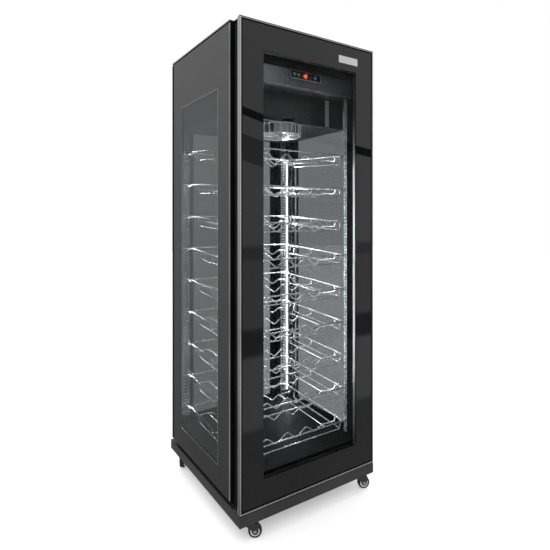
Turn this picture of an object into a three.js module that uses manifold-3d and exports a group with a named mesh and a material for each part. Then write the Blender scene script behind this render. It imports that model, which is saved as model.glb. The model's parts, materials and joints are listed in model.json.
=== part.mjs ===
// Free-standing display wine cooler: four glazed sides, a full-height glass door,
// nine wire racks, a cooling unit under the roof and four swivel casters.
// Units are millimetres. +X is the viewer's right, +Y is the back, +Z is up.
// The origin is on the floor, at the centre of the footprint.

import * as THREE from 'three';
import { mergeVertices } from 'three/addons/utils/BufferGeometryUtils.js';
import Module from 'manifold-3d';

const wasm = await Module();
wasm.setup();

// ---------------------------------------------------------------- driving sizes

const WIDTH = 650;
const DEPTH = 650;
const HEIGHT = 1864;
const GAP = 0.3; // clearance left between touching pieces

const HALF_W = WIDTH / 2;
const FRONT = -DEPTH / 2;
const BACK = DEPTH / 2;

const CASTER_HEIGHT = 70;
const BASE_HEIGHT = 40;
const BASE_TOP = CASTER_HEIGHT + BASE_HEIGHT;
const FLOOR_TOP = 205;

const PANE = 5;
const PANE_GAP = 10;
const GLAZING = 2 * PANE + PANE_GAP;
const INNER_X = HALF_W - GLAZING;

const WALL_FRONT = -248; // front edge of the side glazing
const WALL_BACK = 288; // rear edge of the side glazing
const WALL_BOTTOM = 126;
const LID_BOTTOM = HEIGHT - 5;
const WALL_TOP = LID_BOTTOM - 3;
const CARCASS_FRONT = -274; // plane that the door gasket closes on

const DOOR_BOTTOM = BASE_TOP + 3;
const DOOR_TOP = 1852;
const DOOR_LIP = 6; // visible width of the aluminium edge
const DOOR_EDGE = 16; // depth of that edge
const DOOR_BACK = FRONT + 37;
const WINDOW_HALF = 226;
const WINDOW_BOTTOM = 213;
const WINDOW_TOP = 1746;
const APRON_BOTTOM = WINDOW_TOP - 11;
const HINGE_X = -311;
const HINGE_Y = -298.5;

const SHELF_COUNT = 9;
const SHELF_PITCH = 145.5;
const SHELF_WIDTH = 530;
const SHELF_DEPTH = 440;
const SHELF_FRONT = -205;
const TOP_SHELF = 1420; // height of the top rack's front rim
const SHELF_TILT = THREE.MathUtils.degToRad(3.4);
const RIM_RADIUS = 3;
const WIRE_RADIUS = 2.5;

const COOLER_BOTTOM = 1540;
const COOLER_TOP = 1665;
const COOLER_FRONT = -168;
const COOLER_BACK = 267.7;
const FASCIA_FRONT = -245;
const FASCIA_TOP = 1760;
const CONTROLLER = { x: 25, z: 1717, width: 156, height: 36 };
const FAN_Y = -85;

// ---------------------------------------------------------------- materials

function paint(color, roughness, metalness) {
  return new THREE.MeshStandardMaterial({ color, roughness, metalness });
}

const glassLook = { transparent: true, opacity: 0.35 };
const LOOK = {
  blackSteel: paint(0x2b2b2d, 0.45, 0.3),
  blackPlastic: paint(0x1a1a1c, 0.5, 0),
  floorPlastic: paint(0x222224, 0.55, 0),
  aluminium: paint(0xb4b6b8, 0.3, 1),
  chrome: paint(0xdcdddf, 0.12, 1),
  galvanised: paint(0xa6a9ac, 0.4, 1),
  keyPlastic: paint(0x8f9294, 0.35, 0),
  rubber: paint(0x111112, 0.8, 0),
  badge: paint(0xc6c8ca, 0.25, 1),
  lamp: paint(0xf4f8ff, 0.4, 0),
  tintedGlass: Object.assign(paint(0x2e3033, 0.05, 0), glassLook),
  clearGlass: Object.assign(paint(0xd8e2e2, 0.05, 0), glassLook),
};

// ---------------------------------------------------------------- solid helpers

function toSolid(geometry) {
  const bare = geometry.clone();
  bare.deleteAttribute('normal');
  bare.deleteAttribute('uv');
  const merged = mergeVertices(bare, 1e-4);
  return new wasm.Manifold(new wasm.Mesh({
    numProp: 3,
    vertProperties: new Float32Array(merged.attributes.position.array),
    triVerts: new Uint32Array(merged.index.array),
  }));
}

function toGeometry(solid) {
  const mesh = solid.getMesh();
  const geometry = new THREE.BufferGeometry();
  geometry.setAttribute('position', new THREE.BufferAttribute(mesh.vertProperties, 3));
  geometry.setIndex(new THREE.BufferAttribute(mesh.triVerts, 1));
  geometry.computeVertexNormals();
  return geometry;
}

function join(...pieces) {
  return toGeometry(pieces.map(toSolid).reduce((whole, piece) => whole.add(piece)));
}

function cut(body, ...tools) {
  const carve = (whole, tool) => whole.subtract(tool);
  return toGeometry(tools.map(toSolid).reduce(carve, toSolid(body)));
}

// A box given by its lowest and highest corners.
function box([x0, y0, z0], [x1, y1, z1]) {
  const geometry = new THREE.BoxGeometry(x1 - x0, y1 - y0, z1 - z0);
  return geometry.translate((x0 + x1) / 2, (y0 + y1) / 2, (z0 + z1) / 2);
}

// An upright cylinder whose foot is at z.
function column(radius, height, x, y, z, sides = 24) {
  const geometry = new THREE.CylinderGeometry(radius, radius, height, sides);
  return geometry.rotateX(Math.PI / 2).translate(x, y, z + height / 2);
}

function rectangle(shape, x0, z0, x1, z1) {
  shape.moveTo(x0, z0).lineTo(x1, z0).lineTo(x1, z1).lineTo(x0, z1).closePath();
  return shape;
}

// Turns an extrusion from the XY plane into one that stands in XZ and runs along +Y.
function stand(geometry, y) {
  return geometry.rotateX(Math.PI / 2).scale(1, -1, 1).translate(0, y, 0);
}

function flipFaces(geometry) {
  const position = geometry.attributes.position;
  for (let i = 0; i < position.count; i += 3) {
    const [ax, ay, az] = [position.getX(i), position.getY(i), position.getZ(i)];
    position.setXYZ(i, position.getX(i + 1), position.getY(i + 1), position.getZ(i + 1));
    position.setXYZ(i + 1, ax, ay, az);
  }
  return geometry;
}

// The same solid on the other side of the plane x = 0.
function mirrored(geometry) {
  return toGeometry(toSolid(flipFaces(geometry.clone().scale(-1, 1, 1).toNonIndexed())));
}

// An upright rectangular ring, centred on x = 0, from y to y + depth.
function frameRing(outer, inner, y, depth) {
  const shape = rectangle(new THREE.Shape(), -outer.half, outer.low, outer.half, outer.high);
  shape.holes.push(rectangle(new THREE.Path(), -inner.half, inner.low, inner.half, inner.high));
  const ring = new THREE.ExtrudeGeometry(shape, { depth, bevelEnabled: false });
  return flipFaces(stand(ring, y));
}

// A profile drawn in the YZ plane, run along X from -halfLength to +halfLength.
function profileAlongX(points, halfLength) {
  const shape = new THREE.Shape(points.map(([y, z]) => new THREE.Vector2(y, z)));
  const geometry = new THREE.ExtrudeGeometry(shape, { depth: 2 * halfLength, bevelEnabled: false });
  geometry.rotateX(Math.PI / 2).rotateZ(Math.PI / 2);
  return geometry.translate(-halfLength, 0, 0);
}

// A wire of constant round section through a list of points, mitred at every bend.
function wire(points, radius, closed = false, sides = 4) {
  const count = points.length;
  const corner = points.map((p) => new THREE.Vector3(...p));
  const direction = (i) => corner[(i + 1) % count].clone().sub(corner[i % count]).normalize();
  const first = direction(0);
  const helper = Math.abs(first.z) > 0.9 ? new THREE.Vector3(1, 0, 0) : new THREE.Vector3(0, 0, 1);
  let normal = new THREE.Vector3().crossVectors(first, helper).normalize();
  const vertices = [];
  for (let i = 0; i < count; i += 1) {
    const before = closed || i > 0 ? direction((i + count - 1) % count) : first;
    const after = closed || i < count - 1 ? direction(i) : before;
    const mitre = before.clone().add(after).normalize();
    const side = new THREE.Vector3().crossVectors(before, normal);
    for (let k = 0; k < sides; k += 1) {
      const angle = (2 * Math.PI * k) / sides;
      const offset = normal.clone().multiplyScalar(radius * Math.cos(angle));
      offset.addScaledVector(side, radius * Math.sin(angle));
      offset.addScaledVector(before, -offset.dot(mitre) / before.dot(mitre));
      vertices.push(...corner[i].clone().add(offset).toArray());
    }
    const turn = new THREE.Quaternion().setFromUnitVectors(before, after);
    normal = normal.applyQuaternion(turn).normalize();
  }
  const triangles = [];
  for (let i = 0; i < (closed ? count : count - 1); i += 1) {
    for (let k = 0; k < sides; k += 1) {
      const a = i * sides + k;
      const b = i * sides + ((k + 1) % sides);
      const c = ((i + 1) % count) * sides + k;
      const d = ((i + 1) % count) * sides + ((k + 1) % sides);
      triangles.push(a, b, d, a, d, c);
    }
  }
  for (let k = 1; !closed && k < sides - 1; k += 1) {
    const last = (count - 1) * sides;
    triangles.push(0, k + 1, k, last, last + k, last + k + 1);
  }
  const geometry = new THREE.BufferGeometry();
  geometry.setAttribute('position', new THREE.Float32BufferAttribute(vertices, 3));
  geometry.setIndex(triangles);
  return geometry;
}

function part(name, geometry, material, x = 0, y = 0, z = 0) {
  const mesh = new THREE.Mesh(geometry, material);
  mesh.name = name;
  mesh.position.set(x, y, z);
  return mesh;
}

function group(...children) {
  const holder = new THREE.Group();
  children.forEach((child) => holder.add(child));
  return holder;
}

// ---------------------------------------------------------------- base and carcass

// Folded steel plinth, open underneath, with a gusset and a welded pad over each caster.
function basePlinth() {
  const wall = 2.5;
  const outer = box([-HALF_W, FRONT, CASTER_HEIGHT], [HALF_W, BACK, BASE_TOP]);
  const pocket = box(
    [-HALF_W + wall, FRONT + wall, CASTER_HEIGHT - 1],
    [HALF_W - wall, BACK - wall, BASE_TOP - 3],
  );
  const gussets = CASTERS.map(({ x, y }) => {
    const [edgeX, edgeY] = [Math.sign(x) * (HALF_W - 1), Math.sign(y) * (BACK - 1)];
    return box(
      [Math.min(x - 40, edgeX), Math.min(y - 40, edgeY), CASTER_HEIGHT],
      [Math.max(x + 40, edgeX), Math.max(y + 40, edgeY), CASTER_HEIGHT + 3],
    );
  });
  const pads = CASTERS.map(({ x, y }) => box(
    [x - 32, y - 32, CASTER_HEIGHT - 3],
    [x + 32, y + 32, CASTER_HEIGHT + 1],
  ));
  return part('base_plinth', join(cut(outer, pocket), ...gussets, ...pads), LOOK.blackSteel);
}

// Moulded floor, open underneath, with rows of drain slots pressed into its top.
function floorPan() {
  const wall = 4;
  const low = [-INNER_X + GAP, CARCASS_FRONT, BASE_TOP + GAP];
  const high = [INNER_X - GAP, WALL_BACK - GAP, FLOOR_TOP];
  const hollow = box(
    [low[0] + wall, low[1] + wall, low[2] - 1],
    [high[0] - wall, high[1] - wall, high[2] - wall],
  );
  const slots = [];
  for (const x of [-200, -100, 0, 100, 200]) {
    for (let y = -190; y < 230; y += 60) {
      slots.push(box([x - 4, y, FLOOR_TOP - 1.5], [x + 4, y + 42, FLOOR_TOP + 1]));
    }
  }
  return part('floor_pan', cut(box(low, high), hollow, ...slots), LOOK.floorPlastic);
}

// Black corner covers: the front pair ends under the roof apron, the rear pair under the roof.
function cornerPosts() {
  const low = FLOOR_TOP + GAP;
  const outside = INNER_X - GAP;
  const right = {
    front: box([outside - 24.4, CARCASS_FRONT, low], [outside, CARCASS_FRONT + 62, APRON_BOTTOM - GAP]),
    rear: box([outside - 54.7, WALL_BACK - 20, low], [outside, WALL_BACK - GAP, LID_BOTTOM - GAP]),
  };
  return group(...['front', 'rear'].flatMap((end) => [
    part(`post_${end}_right`, right[end], LOOK.blackPlastic),
    part(`post_${end}_left`, mirrored(right[end]), LOOK.blackPlastic),
  ]));
}

// Sheet-steel roof with an edge flange, two fields of vent slots and a front apron.
function topCover() {
  const sheet = 2;
  const plate = box([-HALF_W, WALL_FRONT, LID_BOTTOM], [HALF_W, WALL_BACK + GAP + GLAZING, HEIGHT]);
  const pocket = box(
    [-HALF_W + sheet, WALL_FRONT + sheet, LID_BOTTOM - 1],
    [HALF_W - sheet, WALL_BACK + GAP + GLAZING - sheet, HEIGHT - sheet],
  );
  const vents = [];
  for (const x of [-150, 150]) {
    for (let y = -20; y <= 220; y += 30) {
      vents.push(box([x - 90, y - 5, HEIGHT - 4], [x + 90, y + 5, HEIGHT + 1]));
    }
  }
  const apron = profileAlongX([
    [CARCASS_FRONT, APRON_BOTTOM], [CARCASS_FRONT + 24, APRON_BOTTOM],
    [CARCASS_FRONT + 24, APRON_BOTTOM + 3], [CARCASS_FRONT + 3, APRON_BOTTOM + 3],
    [CARCASS_FRONT + 3, HEIGHT - 3],
    [WALL_FRONT + 4, HEIGHT - 3], [WALL_FRONT + 4, HEIGHT], [CARCASS_FRONT, HEIGHT],
  ], INNER_X - GAP);
  return part('top_cover', join(cut(plate, pocket, ...vents), apron), LOOK.blackSteel);
}

// One insulating glass wall, drawn with its outside face at y = 0 and its inside at y = GLAZING.
function glazedWall(side, width) {
  const middle = (WALL_BOTTOM + WALL_TOP) / 2;
  const pane = new THREE.BoxGeometry(width, PANE, WALL_TOP - WALL_BOTTOM);
  const outer = { half: width / 2 - 8, low: WALL_BOTTOM + 8, high: WALL_TOP - 8 };
  const inner = { half: outer.half - 12, low: outer.low + 12, high: outer.high - 12 };
  const spacer = frameRing(outer, inner, PANE + GAP, PANE_GAP - 2 * GAP);
  return group(
    part(`${side}_outer_pane`, pane, LOOK.tintedGlass, 0, PANE / 2, middle),
    part(`${side}_inner_pane`, pane, LOOK.clearGlass, 0, GLAZING - PANE / 2, middle),
    part(`${side}_spacer`, spacer, LOOK.aluminium),
  );
}

function glazing() {
  const sideCentre = (WALL_FRONT + WALL_BACK) / 2;
  const left = glazedWall('left', WALL_BACK - WALL_FRONT);
  left.rotation.z = -Math.PI / 2;
  left.position.set(-HALF_W, sideCentre, 0);
  const right = glazedWall('right', WALL_BACK - WALL_FRONT);
  right.rotation.z = Math.PI / 2;
  right.position.set(HALF_W, sideCentre, 0);
  const rear = glazedWall('rear', WIDTH);
  rear.rotation.z = Math.PI;
  rear.position.set(0, WALL_BACK + GAP + GLAZING, 0);
  return group(left, right, rear);
}

// Cable gland on the ledge of the plinth behind the rear glass.
function cableGland() {
  const boss = column(7, 12, 0, 0, 0, 16);
  const bore = column(3.5, 14, 0, 0, -1, 12);
  return part('cable_gland', cut(boss, bore), LOOK.blackPlastic, 250, BACK - 8.3, BASE_TOP + GAP);
}

// ---------------------------------------------------------------- door

function ringSize(inset, low, high) {
  return { half: HALF_W - inset, low, high };
}

// Aluminium edge with a hollow insulated border behind the printed glass.
function doorFrame() {
  const border = { half: WINDOW_HALF + 15.5, low: WINDOW_BOTTOM - 15, high: WINDOW_TOP + 15 };
  const border3 = { half: border.half + 3, low: border.low - 3, high: border.high + 3 };
  const back = ringSize(2, DOOR_BOTTOM + 21, DOOR_TOP - 22);
  const back3 = ringSize(5, back.low + 3, back.high - 3);
  const web = FRONT + DOOR_EDGE - 4;
  const edge = frameRing(
    ringSize(0, DOOR_BOTTOM, DOOR_TOP),
    ringSize(DOOR_LIP, DOOR_BOTTOM + DOOR_LIP, DOOR_TOP - DOOR_LIP),
    FRONT, DOOR_EDGE,
  );
  const flange = frameRing(
    ringSize(3, DOOR_BOTTOM + 3, DOOR_TOP - 3),
    ringSize(9, back3.low, back3.high),
    web, 4,
  );
  const outerWall = frameRing(back, back3, web, DOOR_BACK - web);
  const backPlate = frameRing(back, border, DOOR_BACK - 3, 3);
  const innerWall = frameRing(border3, border, web, DOOR_BACK - web);
  const pinHoles = [back.low - 2, back.high - 6].map((z) => column(5.4, 8, HINGE_X, HINGE_Y, z));
  const frame = cut(join(edge, flange, outerWall, backPlate, innerWall), ...pinHoles);
  return part('door_frame', frame, LOOK.aluminium);
}

function doorGlass() {
  const inset = DOOR_LIP + 0.5;
  const outerHeight = DOOR_TOP - DOOR_BOTTOM - 2 * inset;
  const outer = new THREE.BoxGeometry(WIDTH - 2 * inset, PANE, outerHeight);
  const unit = { half: WINDOW_HALF + 12, low: WINDOW_BOTTOM - 12, high: WINDOW_TOP + 12 };
  const sight = { half: WINDOW_HALF, low: WINDOW_BOTTOM, high: WINDOW_TOP };
  const inner = new THREE.BoxGeometry(2 * unit.half, PANE, unit.high - unit.low);
  const outerY = FRONT + 1.5 + PANE / 2;
  const spacerY = outerY + PANE / 2 + GAP;
  const innerY = spacerY + 12 + GAP + PANE / 2;
  return group(
    part('door_outer_pane', outer, LOOK.tintedGlass, 0, outerY, (DOOR_BOTTOM + DOOR_TOP) / 2),
    part('door_spacer', frameRing(unit, sight, spacerY, 12), LOOK.aluminium),
    part('door_inner_pane', inner, LOOK.clearGlass, 0, innerY, (unit.low + unit.high) / 2),
  );
}

function doorGasket() {
  const outer = ringSize(25, DOOR_BOTTOM + 23, DOOR_TOP - 26);
  const inner = ringSize(41, outer.low + 16, outer.high - 16);
  const depth = CARCASS_FRONT - DOOR_BACK - 2 * GAP;
  return part('door_gasket', frameRing(outer, inner, DOOR_BACK + GAP, depth), LOOK.rubber);
}

function badgePlate() {
  const plate = new THREE.BoxGeometry(102, 0.9, 29);
  return part('badge_plate', plate, LOOK.badge, 183, FRONT + 1.5 - GAP - 0.45, 1787);
}

function door() {
  return group(doorFrame(), doorGlass(), doorGasket(), badgePlate());
}

// Steel pivot plates: one on the base under the door, one on the roof apron above it.
function hinges() {
  const borderLow = DOOR_BOTTOM + 21;
  const borderHigh = DOOR_TOP - 22;
  const foot = box([-322, -312, BASE_TOP + GAP], [-270, CARCASS_FRONT - GAP, BASE_TOP + 2]);
  const lower = join(
    foot,
    column(8, borderLow - GAP - BASE_TOP - 1, HINGE_X, HINGE_Y, BASE_TOP + 1),
    column(5, 20, HINGE_X, HINGE_Y, borderLow - 8),
  );
  const arm = box([HINGE_X - 3, HINGE_Y, borderHigh + 3], [-276, CARCASS_FRONT - GAP, borderHigh + 8]);
  const upper = join(
    arm,
    column(8, 7.7, HINGE_X, HINGE_Y, borderHigh + GAP),
    column(5, 20, HINGE_X, HINGE_Y, borderHigh - 13),
  );
  return group(
    part('hinge_lower', lower, LOOK.blackSteel),
    part('hinge_upper', upper, LOOK.blackSteel),
  );
}

// ---------------------------------------------------------------- racks

// One wire rack. Its front rim runs along X through the mesh's own origin.
function rackGeometry() {
  const half = SHELF_WIDTH / 2;
  const rimCorner = 14;
  const rim = wire([
    [-half + rimCorner, 0, 0], [half - rimCorner, 0, 0],
    [half, rimCorner, 0], [half, SHELF_DEPTH - rimCorner, 0],
    [half - rimCorner, SHELF_DEPTH, 0], [-half + rimCorner, SHELF_DEPTH, 0],
    [-half, SHELF_DEPTH - rimCorner, 0], [-half, rimCorner, 0],
  ], RIM_RADIUS, true);
  const [lowX, frontY, backY, drop] = [half - 7, 9, SHELF_DEPTH - 88, -37];
  const lowerFrame = wire([
    [-half, SHELF_DEPTH - 84, 0], [-lowX, backY, drop], [-lowX, frontY, drop],
    [lowX, frontY, drop], [lowX, backY, drop], [half, SHELF_DEPTH - 84, 0],
  ], WIRE_RADIUS);
  const frontLegs = [-1, 1].map((side) => wire([
    [side * (lowX - 4), 2, 0], [side * (lowX - 4), frontY, drop],
  ], WIRE_RADIUS));
  const cradleYs = [53, SHELF_DEPTH / 2, SHELF_DEPTH - 53];
  const cradles = cradleYs.map((y) => wire(cradlePoints(y), WIRE_RADIUS));
  const runnerEnds = (x) => [[x, 44, -27], [x, SHELF_DEPTH - 44, -27]];
  const runners = [-195, 195].map((x) => wire(runnerEnds(x), WIRE_RADIUS));
  return join(rim, lowerFrame, ...frontLegs, ...cradles, ...runners);
}

// Zigzag cradle wire: four valleys for four bottles, flat at both ends, then up to the rim.
function cradlePoints(y) {
  const half = SHELF_WIDTH / 2;
  const [flat, valley, peak, pitch] = [-23, -44, -7, 102];
  const points = [[-half, y, 0], [-half + 1, y, flat], [-half + 79, y, flat]];
  for (let i = 0; i < 7; i += 1) {
    points.push([(i - 3) * (pitch / 2), y, i % 2 === 0 ? valley : peak]);
  }
  points.push([half - 79, y, flat], [half - 1, y, flat], [half, y, 0]);
  return points;
}

function racks() {
  const geometry = rackGeometry();
  const all = group();
  for (let i = 0; i < SHELF_COUNT; i += 1) {
    const height = TOP_SHELF - i * SHELF_PITCH;
    const rack = part(`rack_${i + 1}`, geometry, LOOK.chrome, 0, SHELF_FRONT, height);
    rack.rotation.x = SHELF_TILT;
    all.add(rack);
  }
  return all;
}

// Height of the underside of rack i's rim, at a distance y behind its front rim.
function rimUnderside(i, y) {
  return TOP_SHELF - i * SHELF_PITCH + y * Math.sin(SHELF_TILT) - RIM_RADIUS;
}

// Upright channels with one hook under each rack's rim.
function standards() {
  const low = FLOOR_TOP + GAP;
  const frontTop = COOLER_TOP - 3;
  const rearTop = COOLER_BOTTOM - 10;
  const hookUnder = (i, y, corner, far) => box(
    [corner[0], corner[1], rimUnderside(i, y) - 6],
    [far[0], far[1], rimUnderside(i, y) - GAP - 0.2],
  );
  const racksDown = Array.from({ length: SHELF_COUNT }, (_, i) => i);
  const frontChannel = cut(
    box([280, -211.7, low], [304.7, -194, frontTop]),
    box([282, -209.7, low - 1], [306, -196, frontTop + 1]),
  );
  const frontHooks = racksDown.map((i) => hookUnder(i, 17, [262, -196], [290, -181]));
  const front = join(frontChannel, ...frontHooks);
  const rearChannel = cut(
    box([260, 261, low], [288, 267.7, rearTop]),
    box([262, 263, low - 1], [286, 269, rearTop + 1]),
  );
  const rearHooks = racksDown.map((i) => hookUnder(i, 428, [257, 230], [266, 262.5]));
  const rear = join(rearChannel, ...rearHooks);
  return group(
    part('standard_front_right', front, LOOK.chrome),
    part('standard_front_left', mirrored(front), LOOK.chrome),
    part('standard_rear_right', rear, LOOK.chrome),
    part('standard_rear_left', mirrored(rear), LOOK.chrome),
  );
}

// Light strips in the rear corners, turned 45 degrees towards the middle of the cabinet.
function lightStrips() {
  const strip = new THREE.BoxGeometry(14, 5, 1210);
  return group(...[['left', -1], ['right', 1]].map(([side, sign]) => {
    const lamp = part(`light_strip_${side}`, strip, LOOK.lamp, sign * 296.5, 260, 840);
    lamp.rotation.z = sign * (-Math.PI / 4);
    return lamp;
  }));
}

// ---------------------------------------------------------------- cooling unit

// Insulated housing that hangs across the cabinet, open at the fan and at the air outlet.
function evaporatorHousing() {
  const wall = 12;
  const low = [-300, COOLER_FRONT, COOLER_BOTTOM];
  const high = [300, COOLER_BACK, COOLER_TOP];
  const inside = box(low.map((v) => v + wall), high.map((v) => v - wall));
  const fanHole = column(88, 30, 0, FAN_Y, COOLER_BOTTOM - 8, 32);
  const outlet = box([-180, 215, COOLER_BOTTOM - 8], [180, 240, COOLER_BOTTOM + 20]);
  return part('evaporator_housing', cut(box(low, high), inside, fanHole, outlet), LOOK.blackPlastic);
}

function finBlock(width, depth, height, fins) {
  const shape = new THREE.Shape();
  const pitch = width / fins;
  const spine = depth * 0.2;
  shape.moveTo(-width / 2, 0);
  for (let i = 0; i < fins; i += 1) {
    const x = -width / 2 + i * pitch;
    shape.lineTo(x, depth).lineTo(x + pitch * 0.35, depth).lineTo(x + pitch * 0.35, spine);
    if (i < fins - 1) shape.lineTo(x + pitch, spine);
  }
  shape.lineTo(-width / 2 + (fins - 1) * pitch + pitch * 0.35, 0).closePath();
  return new THREE.ExtrudeGeometry(shape, { depth: height, bevelEnabled: false });
}

function evaporatorCoil() {
  const fins = finBlock(440, 110, 90, 22);
  return part('evaporator_coil', fins, LOOK.galvanised, 5, 70, COOLER_BOTTOM + 16);
}

// Round wire guard under the housing, carrying the fan motor at its centre.
function fanGuard() {
  const top = COOLER_BOTTOM - GAP;
  const ringPoints = (radius, z, sides = 12) => Array.from({ length: sides }, (_, i) => {
    const angle = (2 * Math.PI * i) / sides;
    return [radius * Math.cos(angle), radius * Math.sin(angle), z];
  });
  const flange = cut(column(104, 3, 0, 0, top - 3), column(84, 6, 0, 0, top - 5));
  const hoopSizes = [[97, top - 42], [68, top - 46]];
  const hoops = hoopSizes.map(([r, z]) => wire(ringPoints(r, z), 2, true));
  const ribs = Array.from({ length: 6 }, (_, i) => {
    const angle = (Math.PI * i) / 3;
    const at = (r, z) => [r * Math.cos(angle), r * Math.sin(angle), z];
    return wire([at(97, top - 1.5), at(97, top - 42), at(68, top - 46), at(20, top - 48)], 1.6);
  });
  const shroud = cut(column(86, 32, 0, 0, top - 34), column(84, 34, 0, 0, top - 35));
  const motor = column(27, 18, 0, 0, top - 49);
  const all = join(flange, shroud, motor, ...hoops, ...ribs);
  return part('fan_guard', all, LOOK.chrome, 0, FAN_Y, 0);
}

// Axial fan turning about +Z, with five pitched blades.
function fanGeometry(radius, hubRadius, height) {
  const hub = column(hubRadius, height, 0, 0, 0, 20);
  const blades = Array.from({ length: 5 }, (_, i) => {
    const blade = new THREE.BoxGeometry(radius - hubRadius + 6, radius * 0.62, 1.6);
    blade.rotateX(0.4).translate((radius + hubRadius) / 2 - 4, 0, height / 2);
    return blade.rotateZ((2 * Math.PI * i) / 5);
  });
  return join(hub, ...blades);
}

function evaporatorFan() {
  return part('evaporator_fan', fanGeometry(78, 24, 22), LOOK.aluminium, 0, FAN_Y, 1511);
}

// Front cover of the controls: a face plate and a ledge that runs back to the housing.
function controlFascia() {
  const low = COOLER_TOP + GAP;
  const profile = profileAlongX([
    [FASCIA_FRONT, low], [COOLER_FRONT, low], [COOLER_FRONT, low + 3], [FASCIA_FRONT + 5, low + 3],
    [FASCIA_FRONT + 5, FASCIA_TOP - 3], [FASCIA_FRONT + 30, FASCIA_TOP - 3],
    [FASCIA_FRONT + 30, FASCIA_TOP], [FASCIA_FRONT, FASCIA_TOP],
  ], 279.4);
  const { x, z, width, height } = CONTROLLER;
  const recess = box(
    [x - width / 2 - 16, FASCIA_FRONT - 1, z - height / 2 - 14],
    [x + width / 2 + 24, FASCIA_FRONT + 1.5, z + height / 2 + 12],
  );
  const opening = box(
    [x - width / 2 + 5, FASCIA_FRONT - 1, z - height / 2 + 4],
    [x + width / 2 - 5, FASCIA_FRONT + 9, z + height / 2 - 4],
  );
  return part('control_fascia', cut(profile, recess, opening), LOOK.blackPlastic);
}

const KEYS = [
  { name: 'key_power', x: -58, radius: 7 },
  { name: 'key_light', x: -38, radius: 5.5 },
  { name: 'key_set', x: 48, radius: 5.5 },
];

// Controller body seen as a rounded bezel, with a well for each key.
function controller() {
  const { x, z, width, height } = CONTROLLER;
  const seat = FASCIA_FRONT + 1.5 - GAP;
  const bezel = box([x - width / 2, seat - 6, z - height / 2], [x + width / 2, seat, z + height / 2]);
  const body = box(
    [x - width / 2 + 6, seat - 1, z - height / 2 + 5],
    [x + width / 2 - 6, seat + 45, z + height / 2 - 5],
  );
  const wells = KEYS.map((key) => {
    const well = new THREE.CylinderGeometry(key.radius + 0.4, key.radius + 0.4, 10, 20);
    return well.translate(x + key.x, seat - 6 + 3, z);
  });
  return part('controller', cut(join(bezel, body), ...wells), LOOK.blackPlastic);
}

function keys() {
  const face = FASCIA_FRONT + 1.5 - GAP - 6;
  return group(...KEYS.map((key) => {
    const cap = new THREE.CylinderGeometry(key.radius, key.radius, 6, 20);
    return part(key.name, cap, LOOK.keyPlastic, CONTROLLER.x + key.x, face + 1.5, CONTROLLER.z);
  }));
}

// Hermetic compressor: a domed can on a foot plate, with one refrigerant tube.
function compressor() {
  const can = new THREE.LatheGeometry([
    [0, 0], [72, 0], [76, 12], [76, 100], [66, 126], [40, 140], [0, 144],
  ].map(([r, z]) => new THREE.Vector2(r, z)), 24);
  can.rotateX(Math.PI / 2);
  const foot = box([-90, -60, -6], [90, 60, 2]);
  const tube = wire([[0, 0, 120], [0, 0, 160], [120, 0, 160], [120, 30, 60]], 4);
  const z = COOLER_TOP + GAP + 6;
  return part('compressor', join(can, foot, tube), LOOK.blackSteel, -150, 130, z);
}

function condenser() {
  return part('condenser', finBlock(180, 60, 150, 16), LOOK.galvanised, 125, 190, COOLER_TOP + GAP);
}

function condenserFan() {
  const geometry = fanGeometry(66, 22, 22).rotateX(-Math.PI / 2);
  return part('condenser_fan', geometry, LOOK.blackPlastic, 122, 150, COOLER_TOP + 78);
}

// ---------------------------------------------------------------- casters

const WHEEL_RADIUS = 25;
const TRAIL = 28;
const CASTERS = [
  { name: 'front_left', x: -271, y: -284, heading: -30 },
  { name: 'front_right', x: 271, y: -284, heading: -24 },
  { name: 'rear_left', x: -271, y: 284, heading: -132 },
  { name: 'rear_right', x: 271, y: 284, heading: -40 },
];

// Swivel fork: stem, hooded crown and two cheeks around the wheel, trailing along +X.
function forkGeometry() {
  const stem = column(11, 9, 0, 0, 57.7, 20);
  const crown = column(21, 6, 0, 0, 54, 24);
  const hood = box([-8, -14, 52.5], [TRAIL + 12, 14, 56.5]);
  const cheeks = [-14, 11].map((y) => join(
    box([TRAIL - 11, y, 25], [TRAIL + 11, y + 3, 53]),
    box([-2, y, 42], [TRAIL + 11, y + 3, 55]),
    new THREE.CylinderGeometry(11, 11, 3, 20).translate(TRAIL, y + 1.5, 25),
  ));
  const axle = new THREE.CylinderGeometry(4, 4, 24, 12).translate(TRAIL, 0, WHEEL_RADIUS);
  return join(stem, crown, hood, ...cheeks, axle);
}

// Solid tyre on a plastic centre, with a plain bore.
function wheelGeometry() {
  const profile = [
    [4.4, -10], [22.5, -10], [WHEEL_RADIUS, -7],
    [WHEEL_RADIUS, 7], [22.5, 10], [4.4, 10], [4.4, -10],
  ];
  const lathe = new THREE.LatheGeometry(profile.map(([r, y]) => new THREE.Vector2(r, y)), 24);
  return toGeometry(toSolid(lathe));
}

function casters() {
  const fork = forkGeometry();
  const wheel = wheelGeometry();
  return group(...CASTERS.map(({ name, x, y, heading }) => {
    const caster = group(
      part(`caster_fork_${name}`, fork, LOOK.blackSteel),
      part(`caster_wheel_${name}`, wheel, LOOK.rubber, TRAIL, 0, WHEEL_RADIUS),
    );
    caster.position.set(x, y, 0);
    caster.rotation.z = THREE.MathUtils.degToRad(heading);
    return caster;
  }));
}

// ---------------------------------------------------------------- the whole cooler

const cooler = group(
  basePlinth(), floorPan(), cornerPosts(), topCover(), glazing(), cableGland(),
  door(), hinges(), racks(), standards(), lightStrips(),
  evaporatorHousing(), evaporatorCoil(), fanGuard(), evaporatorFan(),
  controlFascia(), controller(), keys(), compressor(), condenser(), condenserFan(),
  casters(),
);

export default cooler;
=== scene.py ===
"""Looks of the free-standing display wine cooler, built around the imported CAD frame.
Metres, +X to the right, +Y to the back, +Z up, origin on the floor at the centre."""

import json
import math

import bmesh
import bpy
from mathutils import Matrix, Vector


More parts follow.
